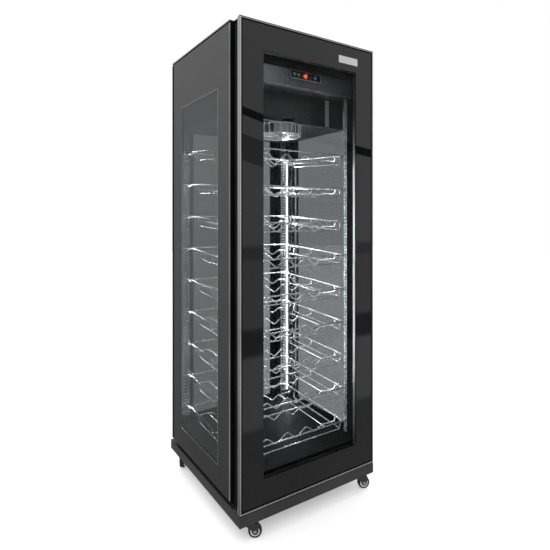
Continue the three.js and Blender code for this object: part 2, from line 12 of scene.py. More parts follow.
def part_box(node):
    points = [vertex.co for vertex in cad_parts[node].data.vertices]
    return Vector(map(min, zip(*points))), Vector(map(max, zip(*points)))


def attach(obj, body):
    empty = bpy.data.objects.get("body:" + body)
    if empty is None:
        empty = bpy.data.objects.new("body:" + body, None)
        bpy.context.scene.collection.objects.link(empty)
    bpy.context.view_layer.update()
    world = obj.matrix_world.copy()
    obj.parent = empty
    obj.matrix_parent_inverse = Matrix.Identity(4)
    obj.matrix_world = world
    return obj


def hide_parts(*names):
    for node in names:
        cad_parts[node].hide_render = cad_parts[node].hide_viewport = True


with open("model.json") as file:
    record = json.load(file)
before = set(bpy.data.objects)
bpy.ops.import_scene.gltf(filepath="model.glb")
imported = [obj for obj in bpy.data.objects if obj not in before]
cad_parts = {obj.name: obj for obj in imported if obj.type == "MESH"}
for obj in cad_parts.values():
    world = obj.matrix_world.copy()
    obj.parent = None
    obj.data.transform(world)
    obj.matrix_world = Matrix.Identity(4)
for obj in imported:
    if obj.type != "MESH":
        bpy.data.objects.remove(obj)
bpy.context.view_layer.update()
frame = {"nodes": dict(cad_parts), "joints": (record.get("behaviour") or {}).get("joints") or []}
scene = bpy.context.scene
nodes = frame["nodes"]
SIDES = (("left", -1), ("right", 1))


# ---------------------------------------------------------------- materials


def link(tree, source, target):
    tree.links.new(source, target)


def noise_field(tree, scale, stretch=(1, 1, 1), detail=4.0, turn=0.0):
    """Noise from 0 to 1 over the object's own coordinates."""
    where = tree.nodes.new("ShaderNodeTexCoord")
    place = tree.nodes.new("ShaderNodeMapping")
    place.inputs["Scale"].default_value = stretch
    place.inputs["Rotation"].default_value = (0, 0, turn)
    noise = tree.nodes.new("ShaderNodeTexNoise")
    noise.inputs["Scale"].default_value = scale
    noise.inputs["Detail"].default_value = detail
    link(tree, where.outputs["Object"], place.inputs["Vector"])
    link(tree, place.outputs["Vector"], noise.inputs["Vector"])
    return noise.outputs["Fac"]


def spread(tree, field, low, high):
    """Maps the middle of a noise field onto low..high."""
    node = tree.nodes.new("ShaderNodeMapRange")
    node.inputs["From Min"].default_value = 0.3
    node.inputs["From Max"].default_value = 0.7
    node.inputs["To Min"].default_value = low
    node.inputs["To Max"].default_value = high
    link(tree, field, node.inputs["Value"])
    return node.outputs["Result"]


def two_tones(tree, field, dark, light):
    node = tree.nodes.new("ShaderNodeMix")
    node.data_type = "RGBA"
    node.inputs["A"].default_value = (*dark, 1)
    node.inputs["B"].default_value = (*light, 1)
    share = spread(tree, field, 0, 1)
    link(tree, share, node.inputs["Factor"])
    return node.outputs["Result"]


def finish_material(
    name,
    dark,
    light,
    rough,
    metal=0.0,
    tone_scale=6,
    grain_scale=400,
    stretch=(1, 1, 1),
    bump=0.1,
    depth=0.0002,
    specular=0.5,
    coat=0.0,
):
    """A surface with soft colour variation, uneven gloss and a fine grain."""
    material = bpy.data.materials.new(name)
    material.use_nodes = True
    tree = material.node_tree
    shader = tree.nodes["Principled BSDF"]
    shader.inputs["Metallic"].default_value = metal
    shader.inputs["Specular IOR Level"].default_value = specular
    shader.inputs["Coat Weight"].default_value = coat
    shader.inputs["Coat Roughness"].default_value = 0.06
    tone = noise_field(tree, tone_scale)
    grain = noise_field(tree, grain_scale, stretch, 3.0)
    link(tree, two_tones(tree, tone, dark, light), shader.inputs["Base Color"])
    link(tree, spread(tree, grain, *rough), shader.inputs["Roughness"])
    relief = tree.nodes.new("ShaderNodeBump")
    relief.inputs["Strength"].default_value = bump
    relief.inputs["Distance"].default_value = depth
    link(tree, grain, relief.inputs["Height"])
    link(tree, relief.outputs["Normal"], shader.inputs["Normal"])
    return material


def pane_material(name, tint, least_gloss=0.012, smear=0.02, sheen=1.0):
    """Thin window glass: tinted see-through, with gloss that rises towards grazing angles.
    A sheen below one stands for an anti-reflection coating."""
    material = bpy.data.materials.new(name)
    material.use_nodes = True
    tree = material.node_tree
    tree.nodes.remove(tree.nodes["Principled BSDF"])
    output = tree.nodes["Material Output"]
    clear = tree.nodes.new("ShaderNodeBsdfTransparent")
    clear.inputs["Color"].default_value = (*tint, 1)
    gloss = tree.nodes.new("ShaderNodeBsdfGlossy")
    gloss.inputs["Color"].default_value = (0.92, 0.94, 0.95, 1)
    wipe = noise_field(tree, 5, (1, 1, 0.35), 6.0)
    link(tree, spread(tree, wipe, 0.0, smear), gloss.inputs["Roughness"])
    facing = tree.nodes.new("ShaderNodeLayerWeight")
    facing.inputs["Blend"].default_value = 0.5
    power = tree.nodes.new("ShaderNodeMath")
    power.operation = "POWER"
    power.inputs[1].default_value = 5.0
    link(tree, facing.outputs["Facing"], power.inputs[0])
    schlick = tree.nodes.new("ShaderNodeMath")
    schlick.operation = "MULTIPLY_ADD"
    schlick.inputs[1].default_value = (1 - least_gloss) * sheen
    schlick.inputs[2].default_value = least_gloss * sheen
    link(tree, power.outputs["Value"], schlick.inputs[0])
    mix = tree.nodes.new("ShaderNodeMixShader")
    link(tree, schlick.outputs["Value"], mix.inputs["Fac"])
    link(tree, clear.outputs["BSDF"], mix.inputs[1])
    link(tree, gloss.outputs["BSDF"], mix.inputs[2])
    link(tree, mix.outputs["Shader"], output.inputs["Surface"])
    return material


def glow_material(name, colour, strength, base=(0.8, 0.8, 0.8)):
    material = bpy.data.materials.new(name)
    material.use_nodes = True
    tree = material.node_tree
    shader = tree.nodes["Principled BSDF"]
    shader.inputs["Base Color"].default_value = (*base, 1)
    shader.inputs["Roughness"].default_value = 0.35
    shader.inputs["Emission Color"].default_value = (*colour, 1)
    even = noise_field(tree, 90, (1, 1, 1), 2.0)
    link(
        tree,
        spread(tree, even, strength * 0.85, strength * 1.15),
        shader.inputs["Emission Strength"],
    )
    return material


MAT = {
    "powder": finish_material(
        "black_powder_coat",
        (0.013, 0.013, 0.014),
        (0.024, 0.024, 0.026),
        (0.32, 0.46),
        grain_scale=900,
        bump=0.25,
        depth=0.00015,
    ),
    "print": finish_material(
        "black_glass_print",
        (0.003, 0.003, 0.0033),
        (0.005, 0.005, 0.0055),
        (0.004, 0.014),
        tone_scale=3,
        grain_scale=6,
        bump=0.004,
        depth=0.0005,
    ),
    "plastic": finish_material(
        "black_plastic",
        (0.010, 0.010, 0.011),
        (0.018, 0.018, 0.019),
        (0.34, 0.5),
        grain_scale=1400,
        bump=0.1,
        depth=0.0001,
    ),
    "gloss_plastic": finish_material(
        "gloss_black_plastic",
        (0.006, 0.006, 0.007),
        (0.010, 0.010, 0.011),
        (0.1, 0.2),
        grain_scale=300,
        bump=0.03,
    ),
    "floor_plastic": finish_material(
        "moulded_floor_plastic",
        (0.003, 0.003, 0.0033),
        (0.007, 0.007, 0.0075),
        (0.5, 0.65),
        grain_scale=1100,
        bump=0.12,
        depth=0.00015,
        specular=0.05,
    ),
    "aluminium": finish_material(
        "brushed_aluminium",
        (0.46, 0.47, 0.48),
        (0.62, 0.63, 0.64),
        (0.26, 0.4),
        metal=1,
        grain_scale=500,
        stretch=(1, 1, 0.02),
        bump=0.12,
        depth=0.0001,
    ),
    # A lighter grey for the roof's side faces, as a painted highlight on the black sheet.
    "roof_edge_highlight": finish_material(
        "painted_roof_edge_highlight",
        (0.2, 0.203, 0.206),
        (0.27, 0.273, 0.276),
        (0.3, 0.42),
        metal=0.4,
        grain_scale=500,
        bump=0.05,
    ),
    "matt_black": finish_material(
        "matt_black_cover",
        (0.002, 0.002, 0.0022),
        (0.004, 0.004, 0.0043),
        (0.5, 0.65),
        grain_scale=700,
        bump=0.06,
        specular=0.05,
    ),
    "fascia": finish_material(
        "satin_fascia",
        (0.055, 0.056, 0.058),
        (0.080, 0.081, 0.083),
        (0.2, 0.3),
        tone_scale=5,
        grain_scale=250,
        bump=0.02,
    ),
    "unit_plastic": finish_material(
        "satin_black_cover",
        (0.016, 0.016, 0.017),
        (0.026, 0.026, 0.027),
        (0.2, 0.32),
        tone_scale=9,
        grain_scale=250,
        bump=0.02,
    ),
    "lip": finish_material(
        "bright_front_lip",
        (0.52, 0.525, 0.53),
        (0.62, 0.625, 0.63),
        (0.2, 0.3),
        metal=1,
        grain_scale=500,
        stretch=(1, 1, 0.02),
        bump=0.05,
    ),
    "door_edge": finish_material(
        "smoked_anodised_edge",
        (0.27, 0.272, 0.278),
        (0.34, 0.343, 0.35),
        (0.2, 0.32),
        metal=1,
        grain_scale=500,
        stretch=(1, 1, 0.02),
        bump=0.1,
        depth=0.0001,
    ),
    "steel": finish_material(
        "zinc_plated_steel",
        (0.42, 0.43, 0.44),
        (0.62, 0.63, 0.64),
        (0.22, 0.42),
        metal=1,
        tone_scale=40,
        grain_scale=260,
        bump=0.08,
    ),
    "chrome": finish_material(
        "bright_chrome_wire",
        (0.80, 0.81, 0.82),
        (0.92, 0.93, 0.94),
        (0.2, 0.3),
        metal=0.72,
        grain_scale=120,
        bump=0.05,
    ),
    "fins": finish_material(
        "fin_aluminium",
        (0.42, 0.43, 0.44),
        (0.6, 0.61, 0.62),
        (0.3, 0.5),
        metal=1,
        tone_scale=30,
        grain_scale=200,
    ),
    "badge": finish_material(
        "satin_badge_metal",
        (0.50, 0.50, 0.51),
        (0.60, 0.60, 0.61),
        (0.34, 0.5),
        metal=0.6,
        grain_scale=700,
        stretch=(0.03, 1, 1),
        bump=0.1,
    ),
    "rubber": finish_material(
        "black_rubber",
        (0.008, 0.008, 0.008),
        (0.016, 0.016, 0.016),
        (0.6, 0.8),
        grain_scale=900,
        bump=0.3,
    ),
    "tyre": finish_material(
        "tyre_polyurethane",
        (0.010, 0.010, 0.010),
        (0.022, 0.022, 0.022),
        (0.34, 0.5),
        tone_scale=60,
        grain_scale=500,
        bump=0.1,
        specular=0.15,
    ),
    "key_grey": finish_material(
        "grey_key",
        (0.2, 0.205, 0.21),
        (0.3, 0.305, 0.31),
        (0.3, 0.4),
        grain_scale=900,
        bump=0.2,
    ),
    "glass": pane_material("tinted_glass", (0.80, 0.80, 0.805), sheen=0.3),
    "left_glass": pane_material("left_tinted_glass", (0.54, 0.54, 0.543), least_gloss=0.035),
    "right_glass": pane_material("right_tinted_glass", (0.52, 0.52, 0.524)),
    "rear_glass": pane_material("rear_tinted_glass", (0.56, 0.56, 0.564)),
    "clear_glass": pane_material("clear_glass", (0.955, 0.965, 0.96), sheen=0.5),
    "glass_edge": finish_material(
        "polished_glass_edge",
        (0.17, 0.175, 0.175),
        (0.27, 0.275, 0.275),
        (0.1, 0.22),
        grain_scale=300,
        coat=0.4,
    ),
    "diffuser": glow_material("lit_diffuser", (0.93, 0.96, 1.0), 0.8),
    "led": glow_material("led_chip", (0.96, 0.98, 1.0), 14.0),
    "digits": glow_material("red_segments", (1.0, 0.08, 0.03), 9.0, (0.2, 0, 0)),
    "green": glow_material("green_key_light", (0.1, 0.8, 0.45), 0.7, (0.03, 0.2, 0.1)),
    "blue": glow_material("blue_key_light", (0.25, 0.4, 0.9), 0.6, (0.05, 0.08, 0.2)),
}
for glowing in ("diffuser", "led", "digits", "green", "blue"):
    MAT[glowing].cycles.emission_sampling = "NONE"


# ---------------------------------------------------------------- mesh helpers


class Shape:
    """Collects closed solids, each with its own material, into one mesh."""

    def __init__(self):
        self.verts, self.faces, self.marks, self.materials = [], [], [], []

    def add(self, verts, faces, material):
        if material not in self.materials:
            self.materials.append(material)
        mark = self.materials.index(material)
        base = len(self.verts)
        self.verts += [Vector(v) for v in verts]
        self.faces += [[base + i for i in face] for face in faces]
        self.marks += [mark] * len(faces)
        return self

    def block(self, low, high, material, bevel=0.0):
        """A box, with its edges rounded by two steps when bevel is given."""
        mesh = bmesh.new()
        bmesh.ops.create_cube(mesh, size=1)
        size = Vector(high) - Vector(low)
        centre = (Vector(high) + Vector(low)) / 2
        for v in mesh.verts:
            v.co = Vector(a * b for a, b in zip(v.co, size)) + centre
        if bevel:
            bmesh.ops.bevel(
                mesh, geom=mesh.edges[:], offset=bevel, segments=2, profile=0.5, affect="EDGES"
            )
        mesh.verts.ensure_lookup_table()
        self.add(
            [v.co.copy() for v in mesh.verts],
            [[v.index for v in f.verts] for f in mesh.faces],
            material,
        )
        mesh.free()
        return self

    def tube(self, points, radius, material, sides=10, closed=False):
        """A round wire through points, turned without twist."""
        points = [Vector(p) for p in points]
        count = len(points)
        step = [
            (points[(i + 1) % count] - points[i]).normalized() for i in range(count)
        ]
        if not closed:
            step[-1] = step[-2]
        helper = Vector((0, 0, 1)) if abs(step[0].z) < 0.9 else Vector((1, 0, 0))
        normal = step[0].cross(helper).normalized()
        verts = []
        for i, point in enumerate(points):
            before = step[i - 1] if closed or i > 0 else step[0]
            after = step[i]
            mitre = (before + after).normalized()
            side = before.cross(normal)
            for k in range(sides):
                angle = 2 * math.pi * k / sides
                off = radius * (math.cos(angle) * normal + math.sin(angle) * side)
                off -= before * (off.dot(mitre) / before.dot(mitre))
                verts.append(point + off)
            normal = (before.rotation_difference(after) @ normal).normalized()
        faces = []
        for i in range(count if closed else count - 1):
            j = (i + 1) % count
            shift = 0
            if closed and j == 0:
                seam = range(sides)
                shift = min(
                    seam, key=lambda s: (verts[s] - verts[i * sides]).length_squared
                )
            for k in range(sides):
                a, b = i * sides + k, i * sides + (k + 1) % sides
                c = j * sides + (k + shift) % sides
                d = j * sides + (k + 1 + shift) % sides
                faces.append([a, b, d, c])
        if not closed:
            faces.append(list(reversed(range(sides))))
            faces.append(list(range((count - 1) * sides, count * sides)))
        return self.add(verts, faces, material)

    def lathe(self, profile, centre, axis, material, sides=32):
        """A closed profile of (radius, height) pairs turned about an axis."""
        turn = Vector((0, 0, 1)).rotation_difference(Vector(axis))
        verts, rings = [], []
        for r, h in profile:
            if r < 1e-9:
                rings.append([len(verts)])
                verts.append(turn @ Vector((0, 0, h)) + Vector(centre))
                continue
            rings.append(list(range(len(verts), len(verts) + sides)))
            for k in range(sides):
                angle = 2 * math.pi * k / sides
                spot = Vector((r * math.cos(angle), r * math.sin(angle), h))
                verts.append(turn @ spot + Vector(centre))
        faces = []
        for low, high in zip(rings, rings[1:]):
            for k in range(sides):
                a, b = low[k % len(low)], low[(k + 1) % len(low)]
                c, d = high[k % len(high)], high[(k + 1) % len(high)]
                face = []
                for v in (a, b, d, c):
                    if v not in face:
                        face.append(v)
                if len(face) > 2:
                    faces.append(face)
        return self.add(verts, faces, material)

    def frame(self, outer, inner, y0, y1, material, place=None):
        """An upright rectangular ring in XZ from y0 to y1; sizes are (left, low, right, high)."""
        verts, faces = [], []
        for y in (y0, y1):
            for x0, z0, x1, z1 in (outer, inner):
                verts += [(x0, y, z0), (x1, y, z0), (x1, y, z1), (x0, y, z1)]
        for k in range(4):
            n = (k + 1) % 4
            faces.append([k, n, 4 + n, 4 + k])
            faces.append([8 + n, 8 + k, 12 + k, 12 + n])
            faces.append([n, k, 8 + k, 8 + n])
            faces.append([4 + k, 4 + n, 12 + n, 12 + k])
        if place is not None:
            verts = [place @ Vector(v) for v in verts]
        return self.add(verts, faces, material)

    def piece(self, name, body="cabinet", slot=None, replaces=(), smooth=30, place=None):
        mesh = bpy.data.meshes.new(name)
        mesh.from_pydata(self.verts, [], self.faces)
        for material in self.materials:
            mesh.materials.append(MAT[material])
        mesh.polygons.foreach_set("material_index", self.marks)
        soften(mesh, smooth)
        return settle(name, mesh, body, replaces, place)


def soften(mesh, angle):
    """Outward normals, and smooth shading up to an angle in degrees."""
    work = bmesh.new()
    work.from_mesh(mesh)
    bmesh.ops.recalc_face_normals(work, faces=work.faces)
    limit = math.radians(angle)
    for face in work.faces:
        face.smooth = True
    for edge in work.edges:
        edge.smooth = edge.is_manifold and edge.calc_face_angle(0) < limit
    work.to_mesh(mesh)
    work.free()


def settle(name, mesh, body, replaces=(), place=None):
    piece = bpy.data.objects.new(name, mesh)
    scene.collection.objects.link(piece)
    if place is not None:
        piece.matrix_world = place
    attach(piece, body)
    if replaces:
        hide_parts(*replaces)
    return piece


def rounded(points, radius, steps=4, closed=False):
    """The same path with every corner replaced by a short curve."""
    points = [Vector(p) for p in points]
    made = []
    for i, point in enumerate(points):
        if not closed and i in (0, len(points) - 1):
            made.append(point)
            continue
        before, after = points[i - 1], points[(i + 1) % len(points)]
        reach = min(radius, (before - point).length * 0.45, (after - point).length * 0.45)
        start = point + (before - point).normalized() * reach
        end = point + (after - point).normalized() * reach
        for k in range(steps + 1):
            t = k / steps
            made.append(start * (1 - t) ** 2 + point * 2 * t * (1 - t) + end * t**2)
    return made


def paint_node(name, material, bevel=0.0):
    """A better material, and rounded edges, on a CAD node that is shown as it is."""
    node = nodes[name]
    node.data.materials.clear()
    node.data.materials.append(MAT[material])
    if bevel:
        weld = node.modifiers.new("weld", "WELD")
        weld.merge_threshold = 1e-5
        round_off = node.modifiers.new("round_off", "BEVEL")
        round_off.width = bevel
        round_off.segments = 2
        round_off.limit_method = "ANGLE"
        round_off.angle_limit = math.radians(50)
        round_off.use_clamp_overlap = True
    return node


# ---------------------------------------------------------------- base, roof and corner covers


def screw(shape, spot, axis, radius=0.004, material="steel"):
    """A pan-head screw with a shallow round dip in its head, the head standing out along axis."""
    r = radius
    profile = [(0, 0), (r, 0), (r, r * 0.25), (r * 0.75, r * 0.55), (r * 0.3, r * 0.62), (0, r * 0.4)]
    shape.lathe(profile, spot, axis, material, 16)


paint_node("base_plinth", "powder", 0.0008)
paint_node("floor_pan", "floor_plastic", 0.0006)
for end in ("front", "rear"):
    for side, _ in SIDES:
        paint_node(f"post_{end}_{side}", "matt_black", 0.0012)
paint_node("cable_gland", "plastic", 0.0006)
paint_node("hinge_lower", "steel", 0.0004)
paint_node("hinge_upper", "rubber", 0.0004)


def roof():
    """Black roof sheet whose side faces carry a lighter grey as a painted highlight, and the screws that hold it."""
    cover = paint_node("top_cover", "powder", 0.0006)
    for material in ("roof_edge_highlight", "matt_black"):
        cover.data.materials.append(MAT[material])
    low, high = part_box("top_cover")
    place = cover.matrix_world
    for face in cover.data.polygons:
        centre = place @ face.center
        # The side faces take the lighter grey as a painted highlight.
        if abs(centre.x) > high.x - 0.0005:
            face.material_index = 1
        elif centre.z < high.z - 0.006:
            face.material_index = 2
    screws = Shape()
    for x in (-0.3, -0.1, 0.1, 0.3):
        screw(screws, (x, high.y - 0.012, high.z - 0.0022), (0, 0, 1), 0.0032)
    screws.piece("roof_screws", slot="galvanised")


# ---------------------------------------------------------------- glass

WINDOW_LOW, WINDOW_HIGH = 0.214, 1.637
SIDE_WINDOW = (-0.158, 0.197)
REAR_WINDOW = (-0.221, 0.221)


def pane(node, material, thin, body="cabinet", slot="tinted_glass", window=None, edge="glass_edge", trim=0.0):
    """One sheet of glass with polished, slightly rounded edges. thin is its thickness axis.
    Outside the window, (left, low, right, high) in row coordinates, both faces are printed black.
    trim lowers its top edge, which opens the dark joint under the roof."""
    low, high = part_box(node)
    high.z -= trim
    wide = 1 - thin
    if window is None:
        window = (low[wide] + 0.02, low.z + 0.02, high[wide] - 0.02, high.z - 0.02)
        print_material = material
    else:
        print_material = "print"
    soft = 0.0007
    outside = (low[wide], low.z, high[wide], high.z)
    inset = (low[wide] + soft, low.z + soft, high[wide] - soft, high.z - soft)
    near, far = low[thin], high[thin]

    def ring(rectangle, depth):
        x0, z0, x1, z1 = rectangle
        corners = []
        for across, up in ((x0, z0), (x1, z0), (x1, z1), (x0, z1)):
            spot = [0, 0, up]
            spot[wide], spot[thin] = across, depth
            corners.append(spot)
        return corners

    loops = (
        (window, near), (inset, near), (outside, near + soft),
        (outside, far - soft), (inset, far), (window, far),
    )
    verts = [v for rectangle, depth in loops for v in ring(rectangle, depth)]
    skins = (print_material, edge, edge, edge, print_material)
    sheet = Shape()
    for i, skin in enumerate(skins):
        a, b = 4 * i, 4 * i + 4
        sides = [[a + k, a + (k + 1) % 4, b + (k + 1) % 4, b + k] for k in range(4)]
        sheet.faces += sides
        if skin not in sheet.materials:
            sheet.materials.append(skin)
        sheet.marks += [sheet.materials.index(skin)] * 4
    if material not in sheet.materials:
        sheet.materials.append(material)
    sheet.faces += [[0, 1, 2, 3], [20, 21, 22, 23]]
    sheet.marks += [sheet.materials.index(material)] * 2
    sheet.verts = [Vector(v) for v in verts]
    return sheet.piece(node + "_sheet", body, slot, (node,), smooth=1)


def wall_place(side):
    """Turns a wall drawn in XZ, with its outside towards -Y at y = 0, onto a cabinet side."""
    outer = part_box(f"{side}_outer_pane")
    centre = (outer[0] + outer[1]) / 2
    if side == "left":
        return Matrix.Translation((outer[0].x, centre.y, 0)) @ Matrix.Rotation(-math.pi / 2, 4, "Z")
    if side == "right":
        return Matrix.Translation((outer[1].x, centre.y, 0)) @ Matrix.Rotation(math.pi / 2, 4, "Z")
    return Matrix.Translation((0, outer[1].y, 0)) @ Matrix.Rotation(math.pi, 4, "Z")


def wall(side):
    """Panes, edge seal and spacer bar of one glazed wall."""
    thin = 1 if side == "rear" else 0
    glass = f"{side}_glass"
    span = REAR_WINDOW if side == "rear" else SIDE_WINDOW
    window = (span[0], WINDOW_LOW, span[1], WINDOW_HIGH)
    edge = "matt_black" if side == "rear" else "glass_edge"
    pane(f"{side}_outer_pane", glass, thin, window=window, edge=edge, trim=0.003)
    pane(f"{side}_inner_pane", "clear_glass", thin, slot="clear_glass", edge="matt_black")
    low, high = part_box(f"{side}_outer_pane")
    place = wall_place(side)
    half = (high.x - low.x if side == "rear" else high.y - low.y) / 2
    window_centre = 0 if side == "rear" else (low.y + high.y) / 2
    sheet = 0.005
    border = 0.002
    line = Shape()
    line.frame(
        window,
        (window[0] + border, window[1] + border, window[2] - border, window[3] - border),
        0.0002,
        0.0006,
        "chrome",
        place @ Matrix.Translation((-window_centre, 0, 0)),
    )
    line.piece(f"{side}_window_line", slot="aluminium", smooth=5)
    seal = Shape()
    edge = 0.0078
    seal.frame(
        (-half + 0.001, low.z + 0.001, half - 0.001, high.z - 0.001),
        (-half + edge, low.z + edge, half - edge, high.z - edge),
        sheet + 0.0004,
        0.0148,
        "matt_black",
        place,
    )
    seal.piece(f"{side}_edge_seal", slot="rubber", smooth=5)
    paint_node(f"{side}_spacer", "aluminium", 0.0004)


def paint_shade_top_band(material, height):
    """Darkens a material above a height in the object's own coordinates, as painted shade."""
    tree = material.node_tree
    shader = tree.nodes["Principled BSDF"]
    colour = shader.inputs["Base Color"].links[0].from_socket
    where = tree.nodes.new("ShaderNodeTexCoord")
    axes = tree.nodes.new("ShaderNodeSeparateXYZ")
    above = tree.nodes.new("ShaderNodeMath")
    above.operation = "GREATER_THAN"
    above.inputs[1].default_value = height
    mix = tree.nodes.new("ShaderNodeMix")
    mix.data_type = "RGBA"
    # The colour of the painted shade.
    mix.inputs["B"].default_value = (0.055, 0.055, 0.057, 1)
    link(tree, where.outputs["Object"], axes.inputs["Vector"])
    link(tree, axes.outputs["Z"], above.inputs[0])
    link(tree, above.outputs["Value"], mix.inputs["Factor"])
    link(tree, colour, mix.inputs["A"])
    link(tree, mix.outputs["Result"], shader.inputs["Base Color"])


def paint_door_frame():
    """Anodised profile with a brighter front lip, whose top band is darkened as painted shade; the insulated border
    behind it is black.
    """
    frame_node = paint_node("door_frame", "door_edge", 0.0018)
    for material in ("matt_black", "lip", "powder"):
        frame_node.data.materials.append(MAT[material])
    frame_node.modifiers["round_off"].material = 3
    low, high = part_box("door_frame")
    # The top 3.8 mm of the lip is darkened as painted shade along the door's top edge.
    paint_shade_top_band(MAT["lip"], high.z - 0.0038)
    place = frame_node.matrix_world
    for face in frame_node.data.polygons:
        centre = place @ face.center
        deep = centre.y > low.y + 0.0166
        inside = abs(centre.x) < high.x - 0.007 and low.z + 0.007 < centre.z < high.z - 0.007
        face.material_index = 1 if deep or inside else 2 if centre.y < low.y + 0.0003 else 0


def door():
    paint_door_frame()
    paint_node("door_gasket", "rubber", 0.002)
    spacer = paint_node("door_spacer", "aluminium", 0.0004)
    # The spacer's top and bottom bars are painted matt black as painted shade; they are aluminium like its sides.
    spacer.data.materials.append(MAT["matt_black"])
    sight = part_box("door_spacer")
    for face in spacer.data.polygons:
        height = (spacer.matrix_world @ face.center).z
        if not sight[0].z + 0.012 < height < sight[1].z - 0.012:
            face.material_index = 1
    paint_node("badge_plate", "badge", 0.0003)
    x, z0, z1 = sight[1].x - 0.012, sight[0].z + 0.012, sight[1].z - 0.012
    pane("door_outer_pane", "glass", 1, "door", window=(-x, z0, x, z1))
    pane("door_inner_pane", "clear_glass", 1, "door", "clear_glass", edge="matt_black")
    low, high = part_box("door_outer_pane")
    bead = Shape()
    bead.frame(
        (low.x + 0.0002, low.z + 0.0002, high.x - 0.0002, high.z - 0.0002),
        (low.x + 0.0046, low.z + 0.0046, high.x - 0.0046, high.z - 0.0046),
        low.y - 0.0011,
        low.y - 0.00005,
        "matt_black",
    )
    bead.piece("door_glass_bead", "door", "rubber", smooth=5)


# ---------------------------------------------------------------- racks and standards

RACK_WIDTH, RACK_DEPTH = 0.530, 0.440
RACK_FRONT = -0.205
RACK_TILT = math.radians(3.4)


def rack_mesh():
    """One bottle rack: rounded rim, lower bars, three zigzag cradles and two runners."""
    half = RACK_WIDTH / 2
    rim_r, wire_r = 0.003, 0.0025
    rack = Shape()
    corners = [(-half, 0, 0), (half, 0, 0), (half, RACK_DEPTH, 0), (-half, RACK_DEPTH, 0)]
    rack.tube(rounded(corners, 0.018, 6, True), rim_r, "chrome", 10, True)
    low_x, front_y, back_y, drop = half - 0.007, 0.009, RACK_DEPTH - 0.088, -0.037
    frame_path = [
        (-half, RACK_DEPTH - 0.084, 0),
        (-low_x, back_y, drop),
        (-low_x, front_y, drop),
        (low_x, front_y, drop),
        (low_x, back_y, drop),
        (half, RACK_DEPTH - 0.084, 0),
    ]
    rack.tube(rounded(frame_path, 0.012, 4), wire_r, "chrome", 8)
    for x in (4 - 1000 * low_x, 1000 * low_x - 4):
        rack.tube([(x / 1000, 0.002, 0), (x / 1000, front_y, drop)], wire_r, "chrome", 8)
    flat, valley, peak, pitch = -0.023, -0.044, -0.007, 0.102
    for y in (0.053, RACK_DEPTH / 2, RACK_DEPTH - 0.053):
        path = [(-half, y, 0), (-half + 0.001, y, flat), (-half + 0.079, y, flat)]
        for i in range(7):
            path.append(((i - 3) * pitch / 2, y, valley if i % 2 == 0 else peak))
        path += [(half - 0.079, y, flat), (half - 0.001, y, flat), (half, y, 0)]
        rack.tube(rounded(path, 0.011, 4), wire_r, "chrome", 8)
    for x in (-0.195, 0.195):
        rack.tube([(x, 0.044, -0.027), (x, RACK_DEPTH - 0.044, -0.027)], wire_r, "chrome", 8)
    return rack


def racks():
    rack = rack_mesh()
    first = None
    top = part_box("rack_1")[0].z
    for i in range(9):
        node = f"rack_{i + 1}"
        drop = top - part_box(node)[0].z
        place = Matrix.Translation((0, RACK_FRONT, 1.420 - drop)) @ Matrix.Rotation(RACK_TILT, 4, "X")
        if first is None:
            first = rack.piece(f"wire_{node}", slot="chrome", replaces=(node,), place=place)
        else:
            settle(f"wire_{node}", first.data, "cabinet", (node,), place)


def ladder(shape, low, high, web_axis, material="chrome", pitch=0.014, slot_height=0.0075, margin=0.0045):
    """A flat upright strip with a row of slots. web_axis is the strip's width axis."""
    wide = 0 if web_axis == "x" else 1
    lo, hi = Vector(low), Vector(high)
    left_hi, right_lo = hi.copy(), lo.copy()
    left_hi[wide] = lo[wide] + margin
    right_lo[wide] = hi[wide] - margin
    shape.block(lo, left_hi, material)
    shape.block(right_lo, hi, material)
    z = lo.z
    while z < hi.z - 1e-6:
        top = min(z + pitch - slot_height, hi.z)
        a, b = lo.copy(), hi.copy()
        a[wide], b[wide] = left_hi[wide], right_lo[wide]
        a.z, b.z = z, top
        shape.block(a, b, material)
        z += pitch


def standards():
    """Slotted upright channels with a bent hook under each rack's rim."""
    for side, sign in SIDES:
        node = f"standard_front_{side}"
        z0, z1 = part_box(node)[0].z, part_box(node)[1].z
        front = Shape()
        xs = sorted((sign * 0.280, sign * 0.282))
        ladder(front, (xs[0], -0.2117, z0), (xs[1], -0.194, z1), "y", margin=0.004)
        for y in (-0.2117, -0.196):
            xs = sorted((sign * 0.282, sign * 0.3047))
            ladder(front, (xs[0], y, z0), (xs[1], y + 0.002, z1), "x", margin=0.005)
        hooks(front, node, sign, 0.017, True)
        front.piece(f"slotted_{node}", slot="chrome", replaces=(node,))
        node = f"standard_rear_{side}"
        rear = Shape()
        xs = sorted((sign * 0.260, sign * 0.288))
        ladder(rear, (xs[0], 0.261, z0), (xs[1], 0.263, z1), "x", "steel", margin=0.004)
        for x in (0.260, 0.286):
            xs = sorted((sign * x, sign * (x + 0.002)))
            rear.block((xs[0], 0.263, z0), (xs[1], 0.2677, z1), "steel")
        hooks(rear, node, sign, 0.428, False)
        rear.piece(f"slotted_{node}", slot="chrome", replaces=(node,))


def hooks(shape, node, sign, y, is_front):
    for i in range(9):
        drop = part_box("rack_1")[0].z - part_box(f"rack_{i + 1}")[0].z
        under = 1.420 - drop + y * math.sin(RACK_TILT) - 0.003
        top, foot = under - 0.0005, under - 0.006
        if is_front:
            xs = sorted((sign * 0.262, sign * 0.284))
            shape.block((xs[0], -0.196, foot), (xs[1], -0.181, top), "chrome", 0.0008)
        else:
            xs = sorted((sign * 0.257, sign * 0.266))
            shape.block((xs[0], 0.230, foot), (xs[1], 0.2625, top), "chrome", 0.0008)


